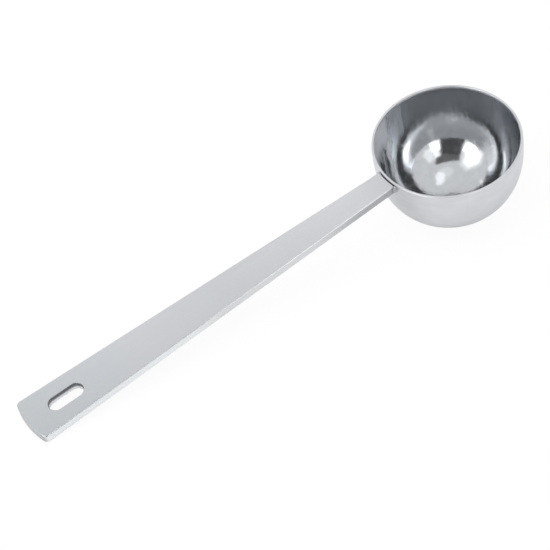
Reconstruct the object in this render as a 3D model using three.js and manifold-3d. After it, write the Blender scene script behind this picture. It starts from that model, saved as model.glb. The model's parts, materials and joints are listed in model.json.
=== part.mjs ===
// A long-handled measuring scoop of stainless steel, lying on a table.
// A deep-drawn bowl, a flat tapering handle with a hanging slot, and the weld that joins them.
// Millimetres and degrees, +Z up, the handle towards -X. The table is z = 0.

import * as THREE from 'three';
import { mergeVertices } from 'three/addons/utils/BufferGeometryUtils.js';
import Module from 'manifold-3d';

// Bowl: outside sizes at the rim, and the sheet that it is drawn from
const BOWL_DIAMETER = 36.4;
const BOWL_DEPTH = 21.3;
const BOWL_BAND = 1.5;
const SHEET = 0.7;
const LIP_EASE = 0.15;

// Fullness of the bowl's curve: 2 is half an ellipse, and more is squarer
const BOWL_FULLNESS = 2.4;

// Handle: a bar whose flat top starts a little under the rim and slopes down from it
const HANDLE_LENGTH = 103.2;
const HANDLE_THICKNESS = 2.2;
const HANDLE_ROOT_WIDTH = 6;
const HANDLE_TIP_WIDTH = 12.8;
const HANDLE_EDGE = 0.3;
const HANDLE_DROP = 0.4;
const HANDLE_SLOPE = 3.2;
const ROOT_CORNER = 0.8;
const TIP_CORNER = 1;
const TIP_RISE = 1;

// Hanging slot, centred on the handle
const SLOT_LENGTH = 9.2;
const SLOT_WIDTH = 3.9;
const SLOT_INSET = 10.8;

// Weld: the gap between bowl, handle and weld metal, and how far the beads reach out of their corners
const WELD_GAP = 0.3;
const SIDE_BEAD_REACH = 1.6;
const SIDE_BEAD_OVERLAP = 0.2;
const UNDER_BEAD_REACH = 1.5;

// Fineness of the round shapes
const BOWL_SIDES = 48;
const BOWL_RINGS = 14;
const ARC_STEPS = 8;
const EDGE_STEPS = 2;
const BEAD_SIDES = 16;

const wasm = await Module();
wasm.setup();

const bowlRadius = BOWL_DIAMETER / 2;
const domeDepth = BOWL_DEPTH - BOWL_BAND;
const slope = THREE.MathUtils.degToRad(HANDLE_SLOPE);

function steel(color, roughness) {
  return new THREE.MeshStandardMaterial({ color, roughness, metalness: 1 });
}

// Solids for joining and cutting

function toSolid(geometry) {
  const bare = geometry.clone();
  bare.deleteAttribute('normal');
  bare.deleteAttribute('uv');
  const merged = mergeVertices(bare);
  return new wasm.Manifold(new wasm.Mesh({
    numProp: 3,
    vertProperties: new Float32Array(merged.attributes.position.array),
    triVerts: new Uint32Array(merged.index.array),
  }));
}

function toGeometry(solid) {
  const mesh = solid.getMesh();
  const geometry = new THREE.BufferGeometry();
  geometry.setAttribute('position', new THREE.BufferAttribute(mesh.vertProperties, 3));
  geometry.setIndex(new THREE.BufferAttribute(mesh.triVerts, 1));
  geometry.computeVertexNormals();
  return geometry;
}

// Bowl: a full round curve below a straight band, turned about the axis

function domeCurve(radius, depth) {
  const power = 2 / BOWL_FULLNESS;
  const points = [new THREE.Vector2(0, -BOWL_BAND - depth)];
  for (let i = 1; i < BOWL_RINGS; i += 1) {
    const turn = (i / BOWL_RINGS) * Math.PI / 2;
    const out = Math.sin(turn) ** power;
    const down = Math.cos(turn) ** power;
    points.push(new THREE.Vector2(radius * out, -BOWL_BAND - depth * down));
  }
  points.push(new THREE.Vector2(radius, -BOWL_BAND));
  return points;
}

// LatheGeometry turns a profile about Y, so the result is stood up to turn about Z.
function turned(profile) {
  return new THREE.LatheGeometry(profile, BOWL_SIDES).rotateX(Math.PI / 2);
}

function bowlGeometry() {
  const innerRadius = bowlRadius - SHEET;
  const outside = domeCurve(bowlRadius, domeDepth);
  const lip = [
    new THREE.Vector2(bowlRadius, -LIP_EASE),
    new THREE.Vector2(bowlRadius - LIP_EASE, 0),
    new THREE.Vector2(innerRadius + LIP_EASE, 0),
    new THREE.Vector2(innerRadius, -LIP_EASE),
  ];
  const inside = domeCurve(innerRadius, domeDepth - SHEET).reverse();
  return turned([...outside, ...lip, ...inside]);
}

// The room that the bowl takes up, grown by the weld gap: a plug without a hollow that runs on past the rim
function bowlRoom() {
  const radius = bowlRadius + WELD_GAP;
  const top = bowlRadius;
  const profile = domeCurve(radius, domeDepth + WELD_GAP);
  profile.push(new THREE.Vector2(radius, top), new THREE.Vector2(0, top));
  return toSolid(turned(profile));
}

// Handle: drawn from above in its own frame, with the bowl's wall at x = 0 and the tip at -X

const tipChord = HANDLE_LENGTH - TIP_RISE;

function halfWidth(distance) {
  const share = distance / tipChord;
  return (HANDLE_ROOT_WIDTH + (HANDLE_TIP_WIDTH - HANDLE_ROOT_WIDTH) * share) / 2;
}

// The root is hollowed to follow the bowl's wall at the weld gap, also at the edge that leans towards it.
const rootLean = HANDLE_THICKNESS * Math.sin(Math.abs(slope));
const rootRadius = bowlRadius + WELD_GAP + rootLean;

function rootCorner(side) {
  const y = halfWidth(0);
  return new THREE.Vector2(bowlRadius - Math.sqrt(rootRadius ** 2 - y ** 2), side * y);
}

function sidePoint(distance, side) {
  return new THREE.Vector2(-distance, side * halfWidth(distance));
}

function handleOutline() {
  const tipHalf = halfWidth(tipChord);
  const tipRadius = (tipHalf ** 2 + TIP_RISE ** 2) / (2 * TIP_RISE);
  const tipCentre = tipRadius - HANDLE_LENGTH;
  const tipTurn = Math.asin((tipHalf - TIP_CORNER) / tipRadius);
  const rootTurn = Math.asin((halfWidth(0) - ROOT_CORNER) / rootRadius);
  const outline = new THREE.Shape();
  outline.absarc(tipCentre, 0, tipRadius, Math.PI - tipTurn, Math.PI + tipTurn, false);
  const tipLow = sidePoint(tipChord - TIP_CORNER, -1);
  outline.quadraticCurveTo(-tipChord, -tipHalf, tipLow.x, tipLow.y);
  const rootLow = sidePoint(ROOT_CORNER, -1);
  outline.lineTo(rootLow.x, rootLow.y);
  const cornerLow = rootCorner(-1);
  const hollowLow = new THREE.Vector2(
    bowlRadius - rootRadius * Math.cos(rootTurn),
    -rootRadius * Math.sin(rootTurn),
  );
  outline.quadraticCurveTo(cornerLow.x, cornerLow.y, hollowLow.x, hollowLow.y);
  outline.absarc(bowlRadius, 0, rootRadius, Math.PI + rootTurn, Math.PI - rootTurn, true);
  const rootHigh = sidePoint(ROOT_CORNER, 1);
  const cornerHigh = rootCorner(1);
  outline.quadraticCurveTo(cornerHigh.x, cornerHigh.y, rootHigh.x, rootHigh.y);
  const tipHigh = sidePoint(tipChord - TIP_CORNER, 1);
  outline.lineTo(tipHigh.x, tipHigh.y);
  outline.quadraticCurveTo(
    -tipChord,
    tipHalf,
    tipCentre - tipRadius * Math.cos(tipTurn),
    tipRadius * Math.sin(tipTurn),
  );
  return outline;
}

function slotOutline() {
  const radius = SLOT_WIDTH / 2;
  const reach = SLOT_LENGTH / 2 - radius;
  const centre = SLOT_INSET - HANDLE_LENGTH;
  const slot = new THREE.Path();
  slot.absarc(centre + reach, 0, radius, -Math.PI / 2, Math.PI / 2, false);
  slot.absarc(centre - reach, 0, radius, Math.PI / 2, Math.PI * 1.5, false);
  return slot;
}

function handleGeometry() {
  const outline = handleOutline();
  outline.holes.push(slotOutline());
  const geometry = new THREE.ExtrudeGeometry(outline, {
    depth: HANDLE_THICKNESS - 2 * HANDLE_EDGE,
    curveSegments: ARC_STEPS,
    bevelEnabled: true,
    bevelSegments: EDGE_STEPS,
    bevelSize: HANDLE_EDGE,
    bevelThickness: HANDLE_EDGE,
    bevelOffset: -HANDLE_EDGE,
  });
  return geometry.translate(0, 0, HANDLE_EDGE - HANDLE_THICKNESS);
}

// The handle's frame in the bowl's frame, whose rim is z = 0
const handlePlace = new THREE.Matrix4()
  .makeRotationY(-slope)
  .setPosition(-bowlRadius, 0, -HANDLE_DROP);

// The room that the handle's root takes up, grown by the weld gap and run on through the wall
function handleRoom() {
  const run = bowlRadius / 2;
  const narrow = halfWidth(-run) + WELD_GAP;
  const wide = halfWidth(run) + WELD_GAP;
  const room = new THREE.Shape();
  room.moveTo(run, narrow);
  room.lineTo(-run, wide);
  room.lineTo(-run, -wide);
  room.lineTo(run, -narrow);
  const geometry = new THREE.ExtrudeGeometry(room, {
    depth: HANDLE_THICKNESS + 2 * WELD_GAP,
    bevelEnabled: false,
  });
  return toSolid(geometry.translate(0, 0, -HANDLE_THICKNESS - WELD_GAP).applyMatrix4(handlePlace));
}

// Weld beads: rounded lumps set in the corners, cut clear of the bowl and the handle

const clearOfBowl = bowlRoom();
const clearOfHandle = handleRoom();

function beadGeometry(centre, radii) {
  const lump = new THREE.SphereGeometry(1, BEAD_SIDES, BEAD_SIDES)
    .scale(radii.x, radii.y, radii.z)
    .translate(centre.x, centre.y, centre.z)
    .applyMatrix4(handlePlace);
  return toGeometry(toSolid(lump).subtract(clearOfBowl).subtract(clearOfHandle));
}

function sideBead(side) {
  const corner = rootCorner(side);
  const centre = new THREE.Vector3(corner.x, corner.y, -HANDLE_THICKNESS / 2);
  const height = HANDLE_THICKNESS / 2 + SIDE_BEAD_OVERLAP;
  return beadGeometry(centre, new THREE.Vector3(SIDE_BEAD_REACH, SIDE_BEAD_REACH, height));
}

function underBead() {
  const centre = new THREE.Vector3(bowlRadius - rootRadius, 0, -HANDLE_THICKNESS);
  return beadGeometry(centre, new THREE.Vector3(UNDER_BEAD_REACH, halfWidth(0), UNDER_BEAD_REACH));
}

// Resting pose: tipped about Y until the bowl's bottom and the handle's tip both touch the table

function bowlLowest(angle) {
  const dual = BOWL_FULLNESS / (BOWL_FULLNESS - 1);
  const aside = (bowlRadius * Math.sin(angle)) ** dual;
  const below = (domeDepth * Math.cos(angle)) ** dual;
  return -BOWL_BAND * Math.cos(angle) - (aside + below) ** (1 / dual);
}

// The tip's lower edge is rounded, so its lowest point lies one edge radius under the round's centre.
function tipLowest(angle) {
  const round = new THREE.Vector3(HANDLE_EDGE - HANDLE_LENGTH, 0, HANDLE_EDGE - HANDLE_THICKNESS);
  round.applyMatrix4(handlePlace);
  return round.x * Math.sin(angle) + round.z * Math.cos(angle) - HANDLE_EDGE;
}

const REST_HALVINGS = 40;

function restingAngle() {
  let low = 0;
  let high = Math.PI / 4;
  for (let i = 0; i < REST_HALVINGS; i += 1) {
    const middle = (low + high) / 2;
    if (tipLowest(middle) > bowlLowest(middle)) low = middle;
    else high = middle;
  }
  return low;
}

// Assembly

const bowl = new THREE.Mesh(bowlGeometry(), steel(0xcbccd0, 0.16));
bowl.name = 'bowl';

const handle = new THREE.Mesh(handleGeometry(), steel(0xc8cbce, 0.34));
handle.name = 'handle';
handle.position.setFromMatrixPosition(handlePlace);
handle.rotation.y = -slope;

const nearBead = new THREE.Mesh(sideBead(-1), steel(0x96999d, 0.5));
nearBead.name = 'weld_bead_near';

const farBead = new THREE.Mesh(sideBead(1), steel(0x96999d, 0.5));
farBead.name = 'weld_bead_far';

const lowerBead = new THREE.Mesh(underBead(), steel(0x96999d, 0.5));
lowerBead.name = 'weld_bead_under';

const scoop = new THREE.Group();
scoop.add(bowl, handle, nearBead, farBead, lowerBead);
scoop.rotation.y = -restingAngle();

// The origin is under the middle of the part, on the table.
const lying = new THREE.Group();
lying.add(scoop);
lying.updateMatrixWorld(true);
const extent = new THREE.Box3().setFromObject(lying, true);
const middle = extent.getCenter(new THREE.Vector3());
scoop.position.set(-middle.x, -middle.y, -extent.min.z);
lying.updateMatrixWorld(true);

export default lying;
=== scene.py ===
# %% [markdown]
# # A long-handled measuring scoop
# The real scoop is two pieces of stainless steel and the weld that joins them: a cup pressed from thin sheet,
# and a flat bar cut to a taper. Its solids are already made, at their real size. This lesson dresses them:
# it turns a smooth bowl, rounds the edges of the bar, lays the weld beads, and gives each surface its finish.
# The first cell loads the solids as a fixed frame, so everything below is placed by them, in metres.

# %% Load the frame
import json
import math

import bpy
import numpy as np
from mathutils import Matrix, Vector, geometry


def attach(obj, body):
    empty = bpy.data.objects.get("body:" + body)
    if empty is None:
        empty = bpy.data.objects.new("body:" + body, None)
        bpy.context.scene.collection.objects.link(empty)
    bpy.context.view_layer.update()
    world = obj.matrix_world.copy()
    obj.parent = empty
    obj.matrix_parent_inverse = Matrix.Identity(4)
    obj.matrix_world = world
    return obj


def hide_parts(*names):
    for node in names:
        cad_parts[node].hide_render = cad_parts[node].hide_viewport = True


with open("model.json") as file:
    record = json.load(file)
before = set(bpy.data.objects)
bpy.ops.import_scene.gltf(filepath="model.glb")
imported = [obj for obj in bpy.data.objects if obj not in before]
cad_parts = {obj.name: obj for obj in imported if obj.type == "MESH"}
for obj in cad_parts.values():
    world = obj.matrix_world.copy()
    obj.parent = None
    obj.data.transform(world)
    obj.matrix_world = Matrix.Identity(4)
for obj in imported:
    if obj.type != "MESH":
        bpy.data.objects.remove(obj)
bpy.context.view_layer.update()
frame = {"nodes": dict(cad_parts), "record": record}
scene = bpy.context.scene
mm = 0.001
print("solids:", sorted(frame["nodes"]))

# %% [markdown]
# ## Where the handle and the bowl are
# The scoop lies on a table, on the round of its bowl and the tip of its handle, so nothing on it is level.
# One flat place on the handle's top is known from the record: its point and the direction it faces. That is
# enough to find the handle's own axes, and the bowl's axes follow from how the handle is welded to it. Every
# shape can then be made straight and level in its own axes and set in place by one matrix.

# %% Axes of the handle and the bowl
rim_radius = 18.2 * mm
handle_slope = math.radians(3.2)
handle_drop = 0.4 * mm
clip_point = Vector((-50, 0.9, 0)) * mm

mounts = {mount["name"]: mount for mount in frame["record"]["mounts"]}
up = Vector(mounts["handle_top"]["axis"]).normalized()
across = Vector((0, 1, 0))
turn = Matrix((across.cross(up), across, up)).transposed()
root = Vector(mounts["handle_top"]["pos_m"]) - turn @ clip_point
handle_axes = Matrix.Translation(root) @ turn.to_4x4()

joint = Matrix.Translation((-rim_radius, 0, -handle_drop)) @ Matrix.Rotation(-handle_slope, 4, "Y")
bowl_axes = handle_axes @ joint.inverted()
rim_centre = bowl_axes.translation
print("rim centre in mm:", [round(value / mm, 2) for value in rim_centre])

# %% [markdown]
# ## A short way to write nodes
# Materials and shapes are both built from nodes. Wiring them one by one is long and hard to read, so one
# small class wraps a socket: arithmetic on it adds Math nodes, and its `node` method adds any other node,
# with its settings first and then the values or wires of its sockets.

# %% The socket class


class Wire:
    """An output socket in a node tree, or only the tree, where a new chain of nodes starts."""

    def __init__(self, tree, socket=None):
        self.tree = tree
        self.socket = socket

    def node(self, kind, settings=None, inputs=None, output=0):
        made = self.tree.nodes.new(kind)
        for name, value in (settings or {}).items():
            setattr(made, name, value)
        for name, value in (inputs or {}).items():
            if isinstance(value, Wire):
                self.tree.links.new(value.socket, made.inputs[name])
            else:
                made.inputs[name].default_value = value
        return Wire(self.tree, made.outputs[output] if made.outputs else None)

    def math(self, operation, other=0.0, swapped=False):
        pair = (other, self) if swapped else (self, other)
        return self.node("ShaderNodeMath", {"operation": operation}, dict(enumerate(pair)))

    def __add__(self, other):
        return self.math("ADD", other)

    def __sub__(self, other):
        return self.math("SUBTRACT", other)

    def __rsub__(self, other):
        return self.math("SUBTRACT", other, swapped=True)

    def __mul__(self, other):
        return self.math("MULTIPLY", other)

    def __truediv__(self, other):
        return self.math("DIVIDE", other)

    def __rtruediv__(self, other):
        return self.math("DIVIDE", other, swapped=True)

    def __pow__(self, other):
        return self.math("POWER", other)

    def __rpow__(self, other):
        return self.math("POWER", other, swapped=True)

    __radd__ = __add__
    __rmul__ = __mul__


print("a wire can make:", [name for name in vars(Wire) if not name.startswith("_")])

# %% [markdown]
# ## Patterns that follow a piece
# A finish is seldom one flat colour. Steel that was pressed, buffed or tumbled has a grain with a direction,
# and the grain follows the piece, not the room. An image could be wrapped round it, but noise has no seams
# and no end. So each pattern reads Object coordinates through a Mapping node that is set to the piece's own
# axes, and whose scale is the size of one grain in metres.

# %% Pattern helpers
# A detail is how many times finer noise is added to the noise.
coarse_detail = 2.0
soft_detail = 3.0
fine_detail = 4.0
finest_detail = 5.0


def new_material(name):
    material = bpy.data.materials.new(name)
    material.use_nodes = True
    material.node_tree.nodes.clear()
    return material, Wire(material.node_tree)


def attribute(start, name):
    """A number from 0 to 1 that the mesh carries at each of its points."""
    return start.node("ShaderNodeAttribute", {"attribute_name": name}, output="Fac")


def own_axes(start, axes, unit):
    """Object coordinates in a piece's own axes, counted in the given units."""
    place = start.node("ShaderNodeTexCoord", output="Object")
    return start.node("ShaderNodeMapping", {"vector_type": "TEXTURE"}, {
        "Vector": place,
        "Location": axes.translation,
        "Rotation": axes.to_euler(),
        "Scale": unit,
    })


def part_of(place, axis):
    """One of the three numbers of a place."""
    return place.node("ShaderNodeSeparateXYZ", None, {0: place}, output=axis)


def grain_noise(start, axes, grain, detail=coarse_detail):
    """Noise from 0 to 1 whose lumps have the given size along the piece's own axes."""
    return start.node("ShaderNodeTexNoise", None, {
        "Vector": own_axes(start, axes, grain), "Scale": 1.0, "Detail": detail,
    })


print("patterns are counted from", [round(value / mm, 1) for value in root], "mm on the handle")

# %% [markdown]
# ## Ramps, colours and bumps
# A worn edge or a change of polish has a soft border, so masks are smooth ramps. Colours are only ever mixed
# or multiplied, because a Math node would turn them grey. Very fine relief isn't worth any mesh: a Bump node
# tilts the surface as if a height of a few thousandths of a millimetre were there.

# %% Finish helpers


def eased(value, low, high):
    """0 before low and 1 after high, with a smooth ramp between. Low may be the greater of the two."""
    return value.node("ShaderNodeMapRange", {"interpolation_type": "SMOOTHSTEP"}, {
        "Value": value, "From Min": low, "From Max": high,
    })


def band(value, rise, fall):
    """1 between two ramps and 0 outside them."""
    return eased(value, *rise) * eased(value, *fall)


def mixed(factor, first, second):
    """A colour between two colours."""
    return factor.node("ShaderNodeMix", {"data_type": "RGBA"}, {0: factor, 6: first, 7: second}, output=2)


def shaded(colour, level):
    """A colour made lighter or darker by a value near 1."""
    grey = level.node("ShaderNodeCombineColor", None, {0: level, 1: level, 2: level})
    return level.node("ShaderNodeMix", {"data_type": "RGBA", "blend_type": "MULTIPLY"},
                      {0: 1.0, 6: colour, 7: grey}, output=2)


def varied(*patterns):
    """A value whose middle is 1, from patterns of 0 to 1 and how far each of them moves it."""
    value = 1 - sum(reach for _, reach in patterns) / 2
    for pattern, reach in patterns:
        value = reach * pattern + value
    return value


def swing(pattern, reach):
    """How far a pattern of 0 to 1 moves a value up or down from its middle."""
    return reach * (pattern - 0.5)


def bumped(height, depth, under=None):
    """A normal from a height of 0 to 1 that stands for the given depth in metres."""
    inputs = {"Height": height, "Distance": depth, "Strength": 1.0}
    if under:
        inputs["Normal"] = under
    return height.node("ShaderNodeBump", None, inputs)


def finish_metal(start, colour, roughness, normal):
    metal = start.node("ShaderNodeBsdfPrincipled", None, {
        "Base Color": colour, "Metallic": 1.0, "Roughness": roughness, "Normal": normal,
    })
    start.node("ShaderNodeOutputMaterial", None, {"Surface": metal})
    tree = start.tree
    print("a finish of", len(tree.nodes), "nodes and", len(tree.links), "links")


# %% [markdown]
# ## The bowl's steel
# Inside, the cup was polished on a wheel until it mirrors the room, and use has scuffed it a little. The
# wheel reaches the wall less well than the floor, so the wall is rougher and darker and keeps the upright
# waves that the press left. One patch, on the far side beside the handle, was hardly polished at all, so it
# is rougher, and its pale colour is a painted sheen. Two streaks of painted reflection run down the wall
# next to it. Outside, the cup was only brushed, round and round, so it is satin with fine level rings. Two
# materials would meet in a hard line on the lip. Here one holds both: the mesh carries an attribute,
# `inside`, that runs from 0 to 1 over the lip and mixes them.

# %% Colours and grains of the bowl
satin_colour = (0.615, 0.625, 0.65, 1)
mirror_colour = (0.53, 0.545, 0.565, 1)
# Paler than steel: a painted sheen on the rough patch, and painted reflection in the streaks.
unpolished_sheen_colour = (0.93, 0.935, 0.945, 1)
satin_level = 0.99
ring_tint = 0.12
patch_tint = 0.16
smear_tint = 0.14
scuff_tint = 0.16
wall_shade = 0.16

satin_roughness = 0.33
ring_roughness = 0.12
mirror_roughness = 0.1
wall_roughness = 0.19
smear_roughness = 0.06
unpolished_roughness = 0.28
scuff_roughness = 0.1
scuff_ramp = (0.5, 0.75)

ring_grain = (9 * mm, 9 * mm, 0.4 * mm)
patch_grain = (5 * mm, 5 * mm, 2.5 * mm)
wave_grain = (1.6 * mm, 1.6 * mm, 26 * mm)
smear_grain = (2.4 * mm, 2.4 * mm, 9 * mm)
scuff_grain = (1.6 * mm, 1.6 * mm, 1.6 * mm)
dimple_grain = (1.1 * mm, 1.1 * mm, 1.1 * mm)
ring_depth = 0.003 * mm
wave_depth = 0.12 * mm
dimple_depth = 0.012 * mm
print("a ring of the brushing is", ring_grain[2] / mm, "mm high")

# %% Steel of the bowl
# Heights are in millimetres from the rim, and the other two from the bowl's middle, all in its own axes. A
# streak of painted reflection is a slanted plane through the wall, with its middle and its reach to each
# side.
wall_ramp = (-14.0, -6.0)
unpolished_ahead = (-4.0, -8.0)
unpolished_aside = (6.0, 11.0)
unpolished_height = (-11.0, -6.0)
smear_fray = 5.0
wave_fray = 8.0
streak_slant = 0.55
streak_fray = 2.0
streak_aside = (8.0, 12.0)
painted_streaks = ((-15.5, 1.0), (-17.2, 0.4))
streak_foot = (-16.0, -14.0)
streak_head = (-6.0, -9.0)


def bowl_steel():
    material, start = new_material("bowl_steel")
    inside = attribute(start, "inside")
    place = own_axes(start, bowl_axes, (mm, mm, mm))
    ahead, aside, height = (part_of(place, axis) for axis in "XYZ")
    rings = grain_noise(start, bowl_axes, ring_grain, fine_detail)
    patches = grain_noise(start, bowl_axes, patch_grain, soft_detail)
    waves = grain_noise(start, bowl_axes, wave_grain)
    smears = grain_noise(start, bowl_axes, smear_grain, fine_detail)
    scuffs = grain_noise(start, bowl_axes, scuff_grain, finest_detail)
    dimples = grain_noise(start, bowl_axes, dimple_grain)

    wall = eased(height, *wall_ramp)
    unpolished_sheen = eased(ahead + swing(smears, smear_fray), *unpolished_ahead)
    unpolished_sheen = unpolished_sheen * eased(aside, *unpolished_aside)
    unpolished_sheen = unpolished_sheen * eased(height + swing(waves, wave_fray), *unpolished_height)
    # The streaks are painted reflection, added to the mask of the rough patch and its painted sheen.
    slanted = ahead - streak_slant * aside + swing(smears, streak_fray)
    streak_ends = band(height, streak_foot, streak_head) * eased(aside, *streak_aside)
    for middle, reach in painted_streaks:
        painted_streak = band(slanted, (middle - reach, middle), (middle + reach, middle))
        unpolished_sheen = unpolished_sheen.math("MAXIMUM", painted_streak * streak_ends)

    brushed = shaded(satin_colour, satin_level * varied((rings, ring_tint), (patches, patch_tint)))
    polish_level = varied((smears, smear_tint), (scuffs, scuff_tint))
    polish_level = polish_level * (1 - wall_shade * wall * (1 - unpolished_sheen))
    # The rough patch and the painted streaks take the pale colour, a painted sheen.
    polished = shaded(mixed(unpolished_sheen, mirror_colour, unpolished_sheen_colour), polish_level)

    satin = satin_roughness + swing(rings, ring_roughness)
    mirror = mirror_roughness + (wall_roughness - mirror_roughness) * wall
    mirror = mirror + swing(smears, smear_roughness) + unpolished_roughness * unpolished_sheen
    mirror = mirror + scuff_roughness * (1 - wall) * eased(scuffs, *scuff_ramp)

    ring_normal = bumped(rings * (1 - inside), ring_depth)
    wave_normal = bumped(waves * inside * wall, wave_depth, ring_normal)
    normal = bumped(dimples * inside, dimple_depth, wave_normal)
    finish_metal(start, mixed(inside, brushed, polished), satin + inside * (mirror - satin), normal)
    return material


bowl_material = bowl_steel()

# %% [markdown]
# ## Shapes that follow a rule
# A pressed cup is a curve turned about an axis, and a weld bead is nearly one too. That is a rule, so both
# come from Geometry Nodes: a grid is bent so that one of its directions runs round the axis and the other
# along the curve. Each tree has named inputs for its sizes. They are set by the sockets' identifiers, and the
# result is turned into a plain mesh before it is put in place.

# %% A tree and its inputs
socket_kinds = {float: "NodeSocketFloat", int: "NodeSocketInt"}


def shape_tree(name, sizes):
    """An empty tree with an input for each size, and a wire from each input."""
    tree = bpy.data.node_groups.new(name, "GeometryNodeTree")
    tree.interface.new_socket("Geometry", in_out="OUTPUT", socket_type="NodeSocketGeometry")
    for label, value in sizes.items():
        tree.interface.new_socket(label, in_out="INPUT", socket_type=socket_kinds[type(value)])
    source = tree.nodes.new("NodeGroupInput")
    return Wire(tree), {label: Wire(tree, source.outputs[label]) for label in sizes}


def turned(start, sides, rings, out, rise, inside=None):
    """A grid turned about Z. The functions out, rise and inside take the step along the curve, 0 to 1."""
    sheet = start.node("GeometryNodeMeshGrid", None, {
        "Size X": 1.0, "Size Y": 1.0, "Vertices X": sides + 1, "Vertices Y": rings + 1,
    })
    # The grid is 1 wide about its middle, so half is added to count from 0.
    place = start.node("GeometryNodeInputPosition")
    angle = (part_of(place, "X") + 0.5) * math.tau
    step = part_of(place, "Y") + 0.5
    if inside:
        sheet = start.node("GeometryNodeStoreNamedAttribute", {"data_type": "FLOAT"}, {
            "Geometry": sheet, "Name": "inside", "Value": inside(step),
        })
    radius = out(step)
    point = start.node("ShaderNodeCombineXYZ", None, {
        "X": radius * angle.math("COSINE"), "Y": radius * angle.math("SINE"), "Z": rise(step),
    })
    return start.node("GeometryNodeSetPosition", None, {"Geometry": sheet, "Position": point})


print("inputs can be", [kind.__name__ for kind in socket_kinds])

# %% From a tree to a plain mesh
seam = 0.004 * mm


def merged(start, sheets):
    """Joins turned sheets and closes the seams and poles between them."""
    whole = start.node("GeometryNodeJoinGeometry")
    for sheet in sheets:
        start.tree.links.new(sheet.socket, whole.socket.node.inputs[0])
    return start.node("GeometryNodeMergeByDistance", None, {"Geometry": whole, "Distance": seam})


def end_tree(start, shape, material):
    smooth = start.node("GeometryNodeSetShadeSmooth", None, {"Geometry": shape})
    real = start.node("GeometryNodeRealizeInstances", None, {"Geometry": smooth})
    coated = start.node("GeometryNodeSetMaterial", None, {"Geometry": real, "Material": material})
    start.node("NodeGroupOutput", None, {"Geometry": coated})


def grown(name, tree, sizes, place):
    """A plain mesh object made by a tree with the given sizes, set in place."""
    piece = bpy.data.objects.new(name, bpy.data.meshes.new(name))
    scene.collection.objects.link(piece)
    modifier = piece.modifiers.new("shape", "NODES")
    modifier.node_group = tree
    for item in tree.interface.items_tree:
        if item.in_out == "INPUT":
            modifier[item.identifier] = sizes[item.name]
    evaluated = piece.evaluated_get(bpy.context.evaluated_depsgraph_get())
    mesh = bpy.data.meshes.new_from_object(evaluated)
    piece.modifiers.clear()
    piece.data = mesh
    mesh.transform(place)
    print(name, "has", len(mesh.polygons), "faces")
    return piece


# %% [markdown]
# ## The bowl
# On the real object the cup is drawn from a disc of 0.7 mm sheet. Its side is a full round curve, squarer
# than half an ellipse, under a narrow straight band, and its lip is eased so that it isn't sharp. The curve
# is a superellipse, so one number sets how full it is. The bowl could be spun by hand with the Spin tool, but
# here three turned stretches meet: the outside, the rim with its lip, and the inside. The solid has flat
# facets and this one is round, so it is made smaller by a hair, to stay inside the solid's box.

# %% Sizes of the bowl
hair = 0.04 * mm
bowl_sizes = {
    "Rim Radius": rim_radius - hair,
    "Depth": 21.3 * mm - hair,
    "Band": 1.5 * mm,
    "Sheet": 0.7 * mm,
    "Fullness": 2.4,
    "Lip Fullness": 5.0,
    "Sides": 256,
    "Wall Rings": 80,
    "Rim Rings": 40,
}
lip_ramp = (0.7, 0.95)
print("the bowl is", round(2 * bowl_sizes["Rim Radius"] / mm, 2), "mm across")

# %% Turn the bowl
quarter_turn = math.pi / 2


def superellipse(angle, wave, fullness):
    """A cosine or sine that is squarer, the more so the greater the fullness."""
    value = angle.math(wave)
    return value.math("SIGN") * value.math("ABSOLUTE") ** (2 / fullness)


def bowl_tree():
    start, size = shape_tree("bowl_turning", bowl_sizes)
    sheet = size["Sheet"]
    band_height = size["Band"]
    dome = size["Depth"] - band_height
    lip_middle = size["Rim Radius"] - 0.5 * sheet

    def wall(reach, depth, sweep, inside):
        return turned(
            start, size["Sides"], size["Wall Rings"],
            lambda step: reach * superellipse(sweep(step), "SINE", size["Fullness"]),
            lambda step: 0 - band_height - depth * superellipse(sweep(step), "COSINE", size["Fullness"]),
            lambda step: inside,
        )

    outside = wall(size["Rim Radius"], dome, lambda step: step * quarter_turn, 0.0)
    rim = turned(
        start, size["Sides"], size["Rim Rings"],
        lambda step: lip_middle + 0.5 * sheet * superellipse(step * math.pi, "COSINE", size["Lip Fullness"]),
        lambda step: band_height * superellipse(step * math.pi, "SINE", size["Lip Fullness"]) - band_height,
        lambda step: eased(step, *lip_ramp),
    )
    inside = wall(size["Rim Radius"] - sheet, dome - sheet, lambda step: (1 - step) * quarter_turn, 1.0)
    end_tree(start, merged(start, [outside, rim, inside]), bowl_material)
    return start.tree


bowl = grown("bowl_cup", bowl_tree(), bowl_sizes, bowl_axes)

# %% [markdown]
# ## The handle's steel
# Bars like this one are tumbled with small stones after they are cut. That leaves a soft grey grain with no
# clear direction over faint lines along the bar from the rolling mill. The flat is darker towards the free
# end and a little darker by the weld. The narrow sides carry a painted reflection, brightest in the outer
# half, and are darker near the weld and painted shade at the very tip. The edge between flat and side, the
# arris, has a painted highlight in one stretch and painted shade in two others. The wall of the slot is
# painted shade, dark above, with a painted reflection of the floor at its foot. One material does it all: the
# mesh tells flat from side with an attribute, `edge`, and the slot with `cut`, and the place along the bar
# comes from its axes.

# %% Colours along the handle
handle_length = 103.2 * mm
handle_thickness = 2.2 * mm

# A change is where along the bar it starts and ends, as shares from the bowl, and the new colour.
flat_near_bowl = (0.62, 0.627, 0.655, 1)
flat_changes = [
    (0.05, 0.5, (0.563, 0.576, 0.6, 1)),
    (0.65, 1.0, (0.498, 0.523, 0.543, 1)),
    (0.1, 0.0, (0.575, 0.585, 0.61, 1)),
]
# A painted reflection, lighter than the steel: on the sides' bright stretch, and at the foot of the slot's
# wall.
painted_reflection_colour = (0.78, 0.8, 0.815, 1)
side_by_weld = (0.41, 0.415, 0.43, 1)
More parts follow.
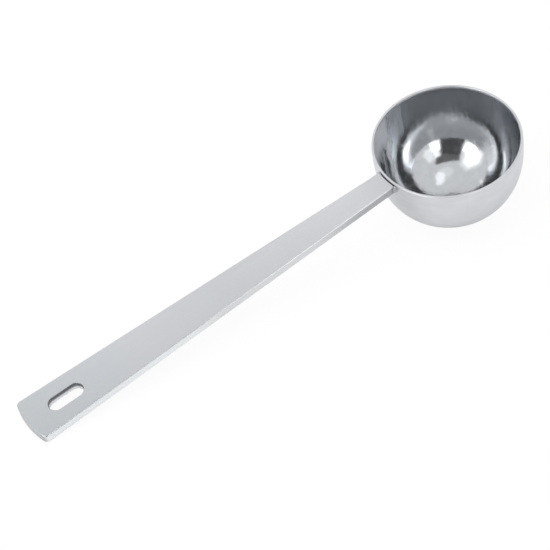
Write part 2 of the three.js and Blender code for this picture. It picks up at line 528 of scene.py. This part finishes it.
# The sides: darker near the weld, a painted reflection in the outer half, and painted shade at the very tip.
side_changes = [
    (0.06, 0.26, (0.65, 0.66, 0.675, 1)),
    (0.47, 0.6, painted_reflection_colour),
    (0.984, 0.993, (0.45, 0.465, 0.48, 1)),
]


def changing(along, colour, changes):
    """A colour that changes along the bar."""
    for first, last, new_colour in changes:
        colour = mixed(eased(along, first, last), colour, new_colour)
    return colour


print("changes of colour along the flat and the side:", len(flat_changes), "and", len(side_changes))

# %% Painted light on the handle's edges
# Bands are shares of the rounding, from the flat at 0 to the side at 1. Stretches are shares of the length.
side_ramp = (0.3, 0.7)
# Painted light on the arris: a painted highlight by the bowl, a line of painted shade beside it, and painted
# shade that damps the highlight over the tip half.
arris_shade_colour = (0.52, 0.525, 0.545, 1)
arris_shade_band = ((0.05, 0.25), (0.5, 0.35))
arris_shade_stretch = ((0.12, 0.22), (0.55, 0.4))
arris_highlight_colour = (0.78, 0.79, 0.81, 1)
arris_highlight_band = ((0.36, 0.48), (0.76, 0.64))
arris_highlight_stretch = (0.46, 0.3)
tip_arris_shade_colour = (0.47, 0.485, 0.5, 1)
tip_arris_shade_band = ((0.15, 0.35), (0.85, 0.6))
tip_arris_shade_stretch = (0.45, 0.6)
# Painted shade on the slot's wall, with a painted reflection of the floor towards its foot.
slot_shade_colour = (0.14, 0.145, 0.155, 1)
slot_reflection_ramp = (-0.35, -0.75)


def edge_colours(flat, side, edge, along):
    """The colours of flat and side, with the painted highlight and painted shade of the arris between them.
    """
    colour = mixed(eased(edge, *side_ramp), flat, side)
    # Painted shade, a painted highlight, and painted shade that damps the highlight towards the tip.
    arris_shade = band(edge, *arris_shade_band) * band(along, *arris_shade_stretch)
    highlighted = band(edge, *arris_highlight_band) * eased(along, *arris_highlight_stretch)
    tip_arris_shade = band(edge, *tip_arris_shade_band) * eased(along, *tip_arris_shade_stretch)
    for painted_mask, painted_colour in ((arris_shade, arris_shade_colour), (highlighted, arris_highlight_colour), (tip_arris_shade, tip_arris_shade_colour)):
        colour = mixed(painted_mask, colour, painted_colour)
    return colour


print("the arris is rubbed over the first", arris_highlight_stretch[0], "of the length")

# %% Steel of the handle
stone_grain = (0.5 * mm, 0.4 * mm, 0.4 * mm)
mill_grain = (25 * mm, 0.5 * mm, 0.5 * mm)
blotch_grain = (15 * mm, 7 * mm, 7 * mm)
stone_depth = 0.002 * mm
mill_depth = 0.0012 * mm
stone_tint = 0.07
mill_tint = 0.06
blotch_tint = 0.03
far_side_gain = 0.6
flat_roughness = 0.4
side_polish = 0.1
stone_roughness = 0.1
blotch_roughness = 0.05


def handle_steel():
    material, start = new_material("handle_steel")
    edge = attribute(start, "edge")
    cut = attribute(start, "cut")
    shares = own_axes(start, handle_axes, (-handle_length, handle_length, handle_thickness))
    along = part_of(shares, "X")
    stones = grain_noise(start, handle_axes, stone_grain, fine_detail)
    mill_lines = grain_noise(start, handle_axes, mill_grain, fine_detail)
    blotches = grain_noise(start, handle_axes, blotch_grain)

    flat = changing(along, flat_near_bowl, flat_changes)
    side = changing(along, side_by_weld, side_changes)
    flat_side_arris = edge_colours(flat, side, edge, along)
    # The slot's wall: painted shade above, and a painted reflection of the floor at its foot.
    slot_painted_light = mixed(eased(part_of(shares, "Z"), *slot_reflection_ramp), slot_shade_colour, painted_reflection_colour)
    level = varied((stones, stone_tint), (mill_lines, mill_tint), (blotches, blotch_tint))
    level = level + far_side_gain * part_of(shares, "Y")
    colour = shaded(mixed(cut, flat_side_arris, slot_painted_light), level)

    roughness = flat_roughness - side_polish * edge
    roughness = roughness + swing(stones, stone_roughness) + swing(blotches, blotch_roughness)
    normal = bumped(stones, stone_depth, bumped(mill_lines, mill_depth))
    finish_metal(start, colour, roughness, normal)
    return material


handle_material = handle_steel()

# %% [markdown]
# ## The handle
# The handle is a flat bar, 6 mm wide at the bowl and 12.8 mm at the free end, with a slot to hang it by. Its
# root is hollowed to follow the bowl's wall, its corners are rounded, and its edges are eased, more above
# than below. It could be a filled curve with a bevel, but then the shading creeps over the flats. Here each
# border is drawn once as a closed line, rounded over in rings, and the flats are filled between the borders.
# Each point knows its true normal, so the flats shade flat and the rounds shade round.

# %% Lines that make a border
root_half = 3.0 * mm
tip_half = 6.4 * mm
tip_rise = 1.0 * mm
tip_chord = handle_length - tip_rise


def arc(centre, radius, first, last, steps):
    """An arc about a point on the bar's middle line."""
    angles = np.linspace(first, last, steps + 1)
    return np.column_stack((centre + radius * np.cos(angles), radius * np.sin(angles)))


def corner_round(before, corner, after, steps=8):
    """A rounded corner: a curve that leaves one point and reaches the next, pulled towards the corner."""
    t = np.linspace(0, 1, steps + 1)[1:-1, None]
    return (1 - t) ** 2 * before + 2 * t * (1 - t) * corner + t ** 2 * after


def side_points(first, last, side, steps=60):
    """Points along one side, from one distance from the root to another."""
    distance = np.linspace(first, last, steps + 1)
    half = root_half + (tip_half - root_half) * distance / tip_chord
    return np.column_stack((-distance, side * half))


print("the bar widens from", 2 * root_half / mm, "to", 2 * tip_half / mm, "mm")

# %% Borders of the bar and its slot
root_gap = 0.05 * mm
root_corner = 0.8 * mm
tip_corner = 1.0 * mm
slot_length = 9.2 * mm
slot_width = 3.9 * mm
slot_inset = 10.8 * mm
tip_steps = 40
hollow_steps = 24
slot_steps = 32
root_hollow = rim_radius + root_gap + handle_thickness * math.sin(handle_slope)
root_corner_x = rim_radius - math.sqrt(root_hollow ** 2 - root_half ** 2)


def bar_border():
    tip_radius = (tip_half ** 2 + tip_rise ** 2) / (2 * tip_rise)
    tip_turn = math.asin((tip_half - tip_corner) / tip_radius)
    tip = arc(tip_radius - handle_length, tip_radius, math.pi - tip_turn, math.pi + tip_turn, tip_steps)
    near = side_points(tip_chord - tip_corner, root_corner, -1)
    root_turn = math.asin((root_half - root_corner) / root_hollow)
    hollow = arc(rim_radius, root_hollow, math.pi + root_turn, math.pi - root_turn, hollow_steps)
    near_tip = corner_round(tip[-1], np.array((-tip_chord, -tip_half)), near[0])
    near_root = corner_round(near[-1], np.array((root_corner_x, -root_half)), hollow[0])
    far_root, far, far_tip = (line[::-1] * (1, -1) for line in (near_root, near, near_tip))
    return np.vstack((tip, near_tip, near, near_root, hollow, far_root, far, far_tip))


def slot_border():
    radius = slot_width / 2
    reach = slot_length / 2 - radius
    middle = slot_inset - handle_length
    outer = arc(middle - reach, radius, 3 * quarter_turn, quarter_turn, slot_steps)
    inner = arc(middle + reach, radius, quarter_turn, -quarter_turn, slot_steps)
    return np.vstack((outer, inner))


bar = bar_border()
slot = slot_border()
print("points on the border:", len(bar), "and on the slot:", len(slot))

# %% Round a border over
rounding_steps = 10


def rounded_rings(border, edge, under):
    """Rings of points and normals that round a border over, by the radii of its upper and under edges."""
    ahead = np.roll(border, -1, 0) - np.roll(border, 1, 0)
    out = np.column_stack((ahead[:, 1], -ahead[:, 0]))
    out /= np.linalg.norm(out, axis=1)[:, None]
    quarter = np.linspace(0, quarter_turn, rounding_steps + 1)
    places = [(angle - quarter_turn, under - handle_thickness, under) for angle in quarter]
    places += [(angle, -edge, edge) for angle in quarter]
    rings = []
    for angle, level, radius in places:
        flat = border - out * (radius * (1 - math.cos(angle)))[:, None]
        normals = np.column_stack((out * math.cos(angle), np.full(len(border), math.sin(angle))))
        rings.append((np.column_stack((flat, level + radius * math.sin(angle))), normals))
    return rings


print("rings round each border:", 2 * (rounding_steps + 1))

# %% Fill between the rings and the borders


def ring_faces(base, count, rings):
    """Quads between the neighbouring rings of one border, whose points start at base."""
    return [
        (low + i, low + (i + 1) % count, low + count + (i + 1) % count, low + count + i)
        for low in range(base, base + (rings - 1) * count, count)
        for i in range(count)
    ]


def flat_faces(points, loops, facing):
    """Triangles that fill a flat between its border and its holes, and face up or down."""
    order = [index for loop in loops for index in loop]
    triangles = geometry.tessellate_polygon([[Vector(points[index]) for index in loop] for loop in loops])
    faces = []
    for triangle in triangles:
        corners = [order[corner] for corner in triangle]
        a, b, c = (points[corner] for corner in corners)
        turns = np.cross(b - a, c - a)[2] * facing
        faces.append(corners if turns > 0 else corners[::-1])
    return faces


print("faces round the border:", len(ring_faces(0, len(bar), 2 * (rounding_steps + 1))))

# %% Make the bar


def plate(name, borders, material, place):
    """A plate with rounded edges. The first border is its outline and the others are holes."""
    points, normals, cuts, faces, lower, upper = [], [], [], [], [], []
    base = 0
    for number, (border, edge, under) in enumerate(borders):
        rings = rounded_rings(border, edge, under)
        count = len(border)
        faces += ring_faces(base, count, len(rings))
        lower.append(range(base, base + count))
        base += count * len(rings)
        upper.append(range(base - count, base))
        points += [part for part, _ in rings]
        normals += [part for _, part in rings]
        cuts += [np.full(count, min(number, 1.0)) for _ in rings]
    points = np.vstack(points)
    normals = np.vstack(normals)
    faces += flat_faces(points, lower, -1) + flat_faces(points, upper, 1)
    mesh = bpy.data.meshes.new(name)
    mesh.from_pydata(points.tolist(), [], faces)
    sides = np.arccos(np.abs(normals[:, 2])) / quarter_turn
    for label, values in (("edge", sides), ("cut", sides * np.concatenate(cuts))):
        mesh.attributes.new(label, "FLOAT", "POINT").data.foreach_set("value", values.astype(np.float32))
    mesh.transform(place)
    mesh.polygons.foreach_set("use_smooth", [True] * len(mesh.polygons))
    mesh.normals_split_custom_set_from_vertices(normals @ np.array(place.to_3x3()).T)
    mesh.materials.append(material)
    piece = bpy.data.objects.new(name, mesh)
    scene.collection.objects.link(piece)
    print(name, "has", len(mesh.polygons), "faces")
    return piece


bar_edge = 0.4 * mm
root_edge = 0.1 * mm
slot_edge = 0.15 * mm
under_share = 0.3
tip_under = 0.35 * mm
root_stretch = (-3 * mm, -0.5 * mm)
tip_stretch = (-handle_length, -tip_chord)
bar_edges = np.interp(bar[:, 0], root_stretch, (bar_edge, root_edge))
bar_unders = np.maximum(under_share * bar_edges, np.interp(bar[:, 0], tip_stretch, (tip_under, 0)))
slot_edges = np.full(len(slot), slot_edge)
borders = [(bar, bar_edges, bar_unders), (slot, slot_edges, under_share * slot_edges)]
handle = plate("handle_bar", borders, handle_material, handle_axes)

# %% [markdown]
# ## The weld
# Weld metal cools in small ripples and keeps a dull grey skin, with a breath of straw where the heat stayed
# longest. The scoop has a short upright bead in the corner on each side of the handle's root, and one across
# underneath. A bead is a turned shape with ripples along it, pushed about a little by noise, so the tree for
# turned shapes serves again. The beads sink into both pieces, as fused metal does.

# %% Steel of the weld
weld_grey = (0.42, 0.425, 0.437, 1)
weld_straw = (0.32, 0.28, 0.22, 1)
skin_grain = (0.35 * mm, 0.35 * mm, 0.35 * mm)
heat_grain = (1.6 * mm, 1.6 * mm, 1.6 * mm)
skin_depth = 0.03 * mm
skin_tint = 0.8
heat_ramp = (0.5, 0.7)
straw_share = 0.3
weld_roughness = 0.38
skin_roughness = 0.25


def weld_steel():
    material, start = new_material("weld_steel")
    skin = grain_noise(start, handle_axes, skin_grain, fine_detail)
    heat = eased(grain_noise(start, handle_axes, heat_grain), *heat_ramp)
    colour = mixed(straw_share * heat, shaded(weld_grey, varied((skin, skin_tint))), weld_straw)
    finish_metal(start, colour, weld_roughness + skin_roughness * skin, bumped(skin, skin_depth))
    return material


weld_material = weld_steel()

# %% A tree for the beads
near_sizes = {
    "Length": 2.2 * mm,
    "Radius": 0.62 * mm,
    "Ripples": 4.0,
    "Ripple Depth": 0.06,
    "Lumps": 0.16 * mm,
    "Seed": 3.0,
    "Sides": 40,
    "Rings": 48,
}
far_sizes = {**near_sizes, "Radius": 0.65 * mm, "Seed": 5.0}
under_sizes = {**near_sizes, "Length": 5.4 * mm, "Radius": 0.8 * mm, "Ripples": 8.0, "Seed": 7.0}
end_fullness = 0.55
lump_size = 1.1 * mm


def bead_tree():
    start, size = shape_tree("weld_bead", near_sizes)

    def out(step):
        ripples = 1 + size["Ripple Depth"] * (step * size["Ripples"] * math.tau).math("SINE")
        return size["Radius"] * (step * math.pi).math("SINE").math("ABSOLUTE") ** end_fullness * ripples

    def rise(step):
        return size["Length"] * (step - 0.5)

    shape = merged(start, [turned(start, size["Sides"], size["Rings"], out, rise)])
    noise = start.node("ShaderNodeTexNoise", {"noise_dimensions": "4D"}, {
        "W": size["Seed"], "Scale": 1 / lump_size, "Detail": coarse_detail,
    })
    push = start.node("ShaderNodeVectorMath", {"operation": "SCALE"}, {
        0: start.node("GeometryNodeInputNormal"), "Scale": (noise - 0.5) * size["Lumps"],
    })
    lumpy = start.node("GeometryNodeSetPosition", None, {"Geometry": shape, "Offset": push})
    end_tree(start, lumpy, weld_material)
    return start.tree


bead_shape = bead_tree()
print("nodes in the tree for beads:", len(bead_shape.nodes))

# %% Lay the beads
middle_level = -handle_thickness / 2
near_place = Matrix.Translation((root_corner_x, -root_half, middle_level))
far_place = Matrix.Translation((root_corner_x, root_half, middle_level))
under_place = Matrix.Translation((rim_radius - root_hollow, 0, -handle_thickness))
under_place = under_place @ Matrix.Rotation(quarter_turn, 4, "X")
near_bead = grown("weld_near", bead_shape, near_sizes, handle_axes @ near_place)
far_bead = grown("weld_far", bead_shape, far_sizes, handle_axes @ far_place)
under_bead = grown("weld_under", bead_shape, under_sizes, handle_axes @ under_place)

# %% [markdown]
# ## Tell the frame what stands for what
# Each dressed piece replaces the plain solid of the same part and moves with it. The scoop has no joint, so
# all of it is one body.

# %% Hand the pieces to the frame
pieces = {
    "bowl": (bowl, "bowl_steel"),
    "handle": (handle, "handle_steel"),
    "weld_bead_near": (near_bead, "weld_steel"),
    "weld_bead_far": (far_bead, "weld_steel"),
    "weld_bead_under": (under_bead, "weld_steel"),
}
for node, (piece, finish) in pieces.items():
    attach(piece, "root")
    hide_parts(node)
print("dressed:", ", ".join(pieces))

# %% [markdown]
# ## The camera
# The picture was taken from about 60 cm, through a long lens, looking down on the scoop from its handle's
# side. The lens is given as its focal length in pixels of a square picture, and the pose as a place and three
# turns: pan from +Y towards +X, pitch down, and a slight roll.

# %% Set up the camera
picture_side = 550
focal_pixels = 2600
sensor_side = 36
camera_place = Vector((-228.04, -349.11, 455.38)) * mm
pan = math.radians(33.14)
pitch = math.radians(47.09)
roll = math.radians(-2.68)

ahead = Vector((math.sin(pan) * math.cos(pitch), math.cos(pan) * math.cos(pitch), -math.sin(pitch)))
level = Vector((math.cos(pan), -math.sin(pan), 0))
down = ahead.cross(level)
right = level * math.cos(roll) - down * math.sin(roll)
above = -(level * math.sin(roll) + down * math.cos(roll))
camera = bpy.data.objects.new("camera", bpy.data.cameras.new("camera"))
camera.matrix_world = Matrix.Translation(camera_place) @ Matrix((right, above, -ahead)).transposed().to_4x4()
camera.data.sensor_width = sensor_side
camera.data.lens = sensor_side * focal_pixels / picture_side
camera.data.clip_start = 1 * mm
scene.collection.objects.link(camera)
scene.camera = camera
print("lens in mm:", round(camera.data.lens, 1))

# %% [markdown]
# ## The room
# Such pictures are taken in a white tent, on a white table. The world is the tent: it gives soft light from
# everywhere, and plain white where the camera or a reflection looks at it. A matt floor alone would come out
# grey in places, so most of what the camera sees of it is a plain glow, and the rest keeps the scoop's
# shadow. Reflections see less of that glow and more of the real floor, because the shade under the scoop is
# what gives the outside of the bowl its roundness.

# %% White world


def rays(start, *ways):
    """1 for rays that come in one of the named ways, and 0 for the others."""
    found = start.node("ShaderNodeLightPath", output=ways[0])
    for way in ways[1:]:
        found = found.math("MAXIMUM", start.node("ShaderNodeLightPath", output=way))
    return found


white = (1, 1, 1, 1)
tent_light = 0.85
world = bpy.data.worlds.new("tent")
world.use_nodes = True
world.node_tree.nodes.clear()
tent = Wire(world.node_tree)
looked_at = rays(tent, "Is Camera Ray", "Is Glossy Ray", "Is Transmission Ray")
tent_strength = tent_light + (1 - tent_light) * looked_at
tent_glow = tent.node("ShaderNodeBackground", None, {"Color": white, "Strength": tent_strength})
tent.node("ShaderNodeOutputWorld", None, {"Surface": tent_glow})
scene.world = world
print("the tent gives", tent_light, "of white")

# %% Pale floor
floor_colour = (0.93, 0.93, 0.93, 1)
floor_glow = 0.93
mirrored_share = 0.277
floor_reach = 3.0


def floor_finish():
    material, start = new_material("pale_floor")
    matt = start.node("ShaderNodeBsdfDiffuse", None, {"Color": floor_colour})
    bright = start.node("ShaderNodeEmission", None, {"Color": white, "Strength": 1.0})
    mirrored = mirrored_share * rays(start, "Is Glossy Ray", "Is Transmission Ray")
    share = floor_glow * rays(start, "Is Camera Ray").math("MAXIMUM", mirrored)
    blend = start.node("ShaderNodeMixShader", None, {0: share, 1: matt, 2: bright})
    start.node("ShaderNodeOutputMaterial", None, {"Surface": blend})
    return material


def stage_sheet(name, points, faces, material):
    mesh = bpy.data.meshes.new(name)
    mesh.from_pydata(points, [], faces)
    mesh.materials.append(material)
    sheet = bpy.data.objects.new(name, mesh)
    scene.collection.objects.link(sheet)
    return sheet


floor_corners = [(x * floor_reach, y * floor_reach, 0) for x, y in ((-1, -1), (1, -1), (1, 1), (-1, 1))]
stage_sheet("floor", floor_corners, [(0, 1, 2, 3)], floor_finish())
print("the floor is", 2 * floor_reach, "m wide")

# %% [markdown]
# ## What the mirror sees
# Looked into, the bowl shows the room: the dark shape of the camera and its arm, a softbox on each side of
# them, one overhead and a window behind. Lamps could stand for these, but a lamp is a plain rectangle, and
# here the borders show. So each is a curved card on a large ball round the bowl, and only reflections see it:
# the soft light and the floor stay as they are. A softbox is hottest in its middle, so a card of light fades
# out over its border, by an attribute, `cover`, that mixes it with a clear shader.

# %% Directions from the bowl
towards_camera = math.atan2(camera_place.y - rim_centre.y, camera_place.x - rim_centre.x)


def from_bowl(left, rise, distance):
    """A place by its direction from the bowl: degrees to the camera's left, and degrees above the floor."""
    heading = towards_camera - math.radians(left)
    lift = math.radians(rise)
    flat = distance * math.cos(lift)
    step = Vector((flat * math.cos(heading), flat * math.sin(heading), distance * math.sin(lift)))
    return rim_centre + step


print("the camera's heading from the bowl, in degrees:", round(math.degrees(towards_camera), 1))

# %% The glow of a card
full_circle = 360
zenith = 90


def card_glow(name, glow):
    material, start = new_material(name)
    clear = start.node("ShaderNodeBsdfTransparent")
    light = start.node("ShaderNodeEmission", None, {"Color": white, "Strength": glow})
    blend = start.node("ShaderNodeMixShader", None, {0: attribute(start, "cover"), 1: clear, 2: light})
    start.node("ShaderNodeOutputMaterial", None, {"Surface": blend})
    return material


def cover_at(share, rise, width, ends, fade):
    """How much of a card is there: 1 inside, and down to 0 at its border over the degrees of the fade."""
    if not fade:
        return 1.0
    to_side = min(share, 1 - share) * width * math.cos(math.radians(rise))
    to_top = ends[1] - rise
    margins = [rise - ends[0]]
    margins += [to_side] if width < full_circle else []
    margins += [to_top] if ends[1] < zenith else []
    return min(1.0, min(margins) / fade) ** 2


print("half-way into a fade the cover is", cover_at(share=0.5, rise=1, width=90, ends=(0, 20), fade=2))

# %% A curved card
card_columns = 30
row_steps = 10


def card(name, glow, distance, fade, rows):
    """A card that only reflections see. Each row is a rise and the card's two sides there. All but the glow
    and the distance are in degrees."""
    knots = np.arange(len(rows))
    steps = np.linspace(0, knots[-1], row_steps * knots[-1] + 1)
    rises, firsts, seconds = (np.interp(steps, knots, column) for column in np.array(rows, float).T)
    points, covers = [], []
    for rise, first, second in zip(rises, firsts, seconds):
        for share in np.linspace(0, 1, card_columns + 1):
            points.append(from_bowl(first + share * (second - first), rise, distance))
            covers.append(cover_at(share, rise, abs(second - first), (rises[0], rises[-1]), fade))
    row = card_columns + 1
    faces = [
        (low + i, low + i + 1, low + row + i + 1, low + row + i)
        for low in range(0, row * (len(steps) - 1), row)
        for i in range(card_columns)
    ]
    sheet = stage_sheet(name, points, faces, card_glow(name, glow))
    sheet.data.attributes.new("cover", "FLOAT", "POINT").data.foreach_set("value", covers)
    sheet.visible_camera = False
    sheet.visible_diffuse = False
    sheet.visible_shadow = False
    print(name, "has", len(faces), "faces")


# %% The dark camera
# Distances are in metres from the middle of the rim. A nearer card covers those behind it.
back = 0.9
card("dark_camera", 0.1, back, 0, [(16, -16, 29), (45, -16, 29), (54, -17, 32)])
card("dark_arm", 0.2, back, 0, [
    (54, -17, 32), (56, -17, 34), (58, -31, 36), (62, -40, 40), (66, -45, 30), (71, -47, 0),
])

# %% Softboxes and the window
front = 0.8
behind = 0.85
farther = 0.87
card("softbox_left", 6.5, front, 3, [(22, 31, 48), (29, 30, 61), (43, 30, 62)])
card("softbox_left_edge", 2.2, behind, 12, [(18, 24, 68), (40, 24, 88), (58, 33, 96), (72, 44, 104)])
card("softbox_right", 6.0, front, 7, [(22, -13, -38), (46, -13, -38)])
card("softbox_right_top", 1.9, behind, 5, [(42, -15, -40), (59, -15, -40)])
card("softbox_right_edge", 1.5, farther, 6, [(30, -31, -50), (42, -31, -62), (64, -29, -66)])
card("softbox_top", 1.7, front, 3, [
    (65, -178, -160), (72, -186, -145), (76, -190, -120), (80, -195, -80), (90, -195, -60),
])
card("softbox_top_edge", 1.2, behind, 6, [(76, -180, 180), (90, -180, 180)])
card("window", 1.6, front, 5, [(12, 124, 142), (34, 118, 140), (49, 109, 124)])

# %% [markdown]
# ## The lamp
# The tent alone gives light without a side. One large, weak lamp on the camera's left gives the scoop a soft
# shadow. It is left out of reflections, because the cards already show there what a mirror would see.

# %% Hang the lamp
lamp_side = 0.8
lamp_watts = 4.0
lamp_left = 50
lamp_rise = 60
lamp_distance = 0.9

lamp = bpy.data.lights.new("lamp", "AREA")
lamp.size = lamp_side
lamp.energy = lamp_watts
lamp_box = bpy.data.objects.new("lamp", lamp)
lamp_box.location = from_bowl(lamp_left, lamp_rise, lamp_distance)
lamp_box.rotation_euler = (rim_centre - lamp_box.location).to_track_quat("-Z", "Y").to_euler()
lamp_box.visible_glossy = False
scene.collection.objects.link(lamp_box)
print("the lamp hangs", round(lamp_box.location.z, 2), "m above the floor")

# %% [markdown]
# ## Finish
# The view transform is Standard, so a colour renders as it was written. Light bounces many times between the
# walls of a polished cup before it leaves, so more bounces are allowed than usual.

# %% Finish
cup_bounces = 16
scene.view_settings.view_transform = "Standard"
scene.cycles.max_bounces = cup_bounces
scene.cycles.glossy_bounces = cup_bounces
